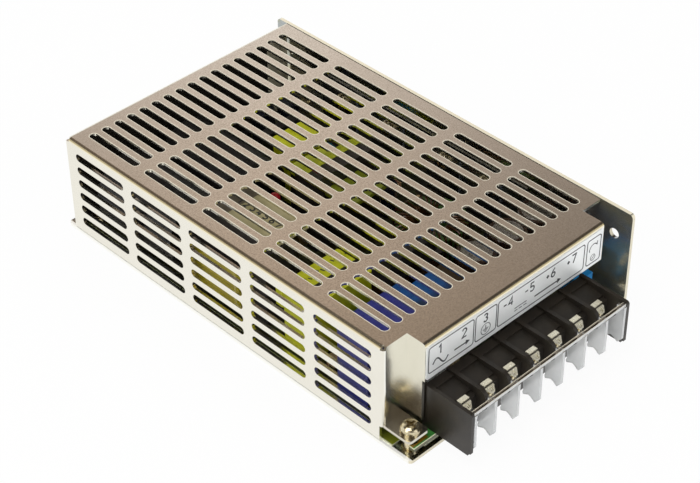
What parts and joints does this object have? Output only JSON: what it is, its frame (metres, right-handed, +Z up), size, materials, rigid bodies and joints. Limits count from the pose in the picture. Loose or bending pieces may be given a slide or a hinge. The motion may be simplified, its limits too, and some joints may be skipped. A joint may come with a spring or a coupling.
{
  "type": "mesh case switching power supply",
  "caption": "Enclosed switching power supply with a slotted sheet cover, a barrier terminal block with a hinged guard and its full board inside.",
  "frame": {"origin": "on the underside of the chassis, at the middle of its footprint", "axes": "+Y along the length, away from the terminals; +X towards the chassis side wall; +Z up through the slotted top"},
  "size_m": [0.098, 0.172, 0.038],
  "materials": {
    "chassis_zinc": "bright zinc plate with a bluish and yellow passivation sheen",
    "cover_plate": "satin plated sheet, warm grey, lightly grained",
    "label_film": "printed silver film",
    "hardware": "bright zinc plated",
    "dark_screws": "blackened flat heads",
    "sheet_film": "amber insulating film",
    "board_laminate": "green solder mask over glass laminate",
    "block_black": "moulded black, slightly glossy",
    "clamp_plate": "nickel plated",
    "clear_cover": "milky translucent moulding",
    "trimmer_blue": "blue moulding",
    "rotor_white": "white moulding with a slot",
    "fuse_glass": "glass tube with plated caps",
    "clip_brass": "tinned spring brass",
    "ferrite": "dark grey ferrite, matt",
    "bobbin_black": "moulded black",
    "copper_wire": "enamelled copper wire",
    "film_yellow": "yellow case",
    "film_blue": "violet blue epoxy case",
    "disc_blue": "blue epoxy coating",
    "thermistor_green": "dark green coating",
    "varistor_orange": "orange brown epoxy coating",
    "device_black": "moulded black epoxy",
    "can_sleeve": "dark shrink sleeve on an aluminium can",
    "tape_yellow": "yellow polyester tape",
    "label_khaki": "khaki paper label",
    "tape_olive": "yellow green polyester tape",
    "aluminium_bar": "mill finish",
    "pad_grey": "grey silicone pad",
    "choke_coat": "green coated powder core",
    "output_sleeve": "brown shrink sleeve on an aluminium can",
    "small_sleeve": "dark blue shrink sleeve on an aluminium can",
    "resistor_body": "tan coating",
    "link_wire": "tinned wire"
  },
  "bodies": {
    "case": {"chassis": "chassis_zinc", "cover": "cover_plate", "front_label": "label_film", "corner_pillar": "hardware", "corner_washer": "hardware", "corner_screw": "hardware", "wall_screws": "dark_screws", "insulating_sheet": "sheet_film", "circuit_board": "board_laminate", "board_spacers": "hardware", "board_screws": "hardware", "terminal_block": "block_black", "terminal_clamps": "clamp_plate", "terminal_screws": "hardware", "trimmer_body": "trimmer_blue", "fuse": "fuse_glass", "fuse_clips": "clip_brass", "line_filter_core": "ferrite", "line_filter_bobbin": "bobbin_black", "line_filter_windings": "copper_wire", "yellow_film_capacitors": "film_yellow", "blue_film_capacitors": "film_blue", "disc_capacitors": "disc_blue", "thermistor": "thermistor_green", "varistor": "varistor_orange", "bridge_rectifier": "device_black", "bulk_capacitors": "can_sleeve", "main_transformer_core": "ferrite", "main_transformer_winding": "tape_yellow", "main_transformer_bobbin": "bobbin_black", "main_transformer_label": "label_khaki", "second_transformer_core": "ferrite", "second_transformer_winding": "tape_olive", "second_transformer_bobbin": "bobbin_black", "heat_spreader": "aluminium_bar", "insulating_pads": "pad_grey", "power_transistors": "device_black", "rectifier_diodes": "device_black", "device_screws": "hardware", "output_choke_core": "choke_coat", "output_choke_winding": "copper_wire", "output_capacitors": "output_sleeve", "small_capacitors": "small_sleeve", "control_chip": "device_black", "optocouplers": "device_black", "power_resistors": "resistor_body", "signal_diodes": "device_black", "wire_links": "link_wire"},
    "guard": {"terminal_cover": "clear_cover"},
    "rotor": {"trimmer_rotor": "rotor_white"}
  },
  "joints": [
    {"name": "guard_hinge", "type": "hinge", "parent": "case", "child": "guard", "pos_m": [0, -0.0916, 0.0202], "axis": [-1, 0, 0], "range_deg": [0, 115]},
    {"name": "trimmer_turn", "type": "hinge", "parent": "case", "child": "rotor", "pos_m": [0.03798, -0.0705, 0.0108], "axis": [0, -1, 0], "range_deg": [-130, 130]}
  ]
}
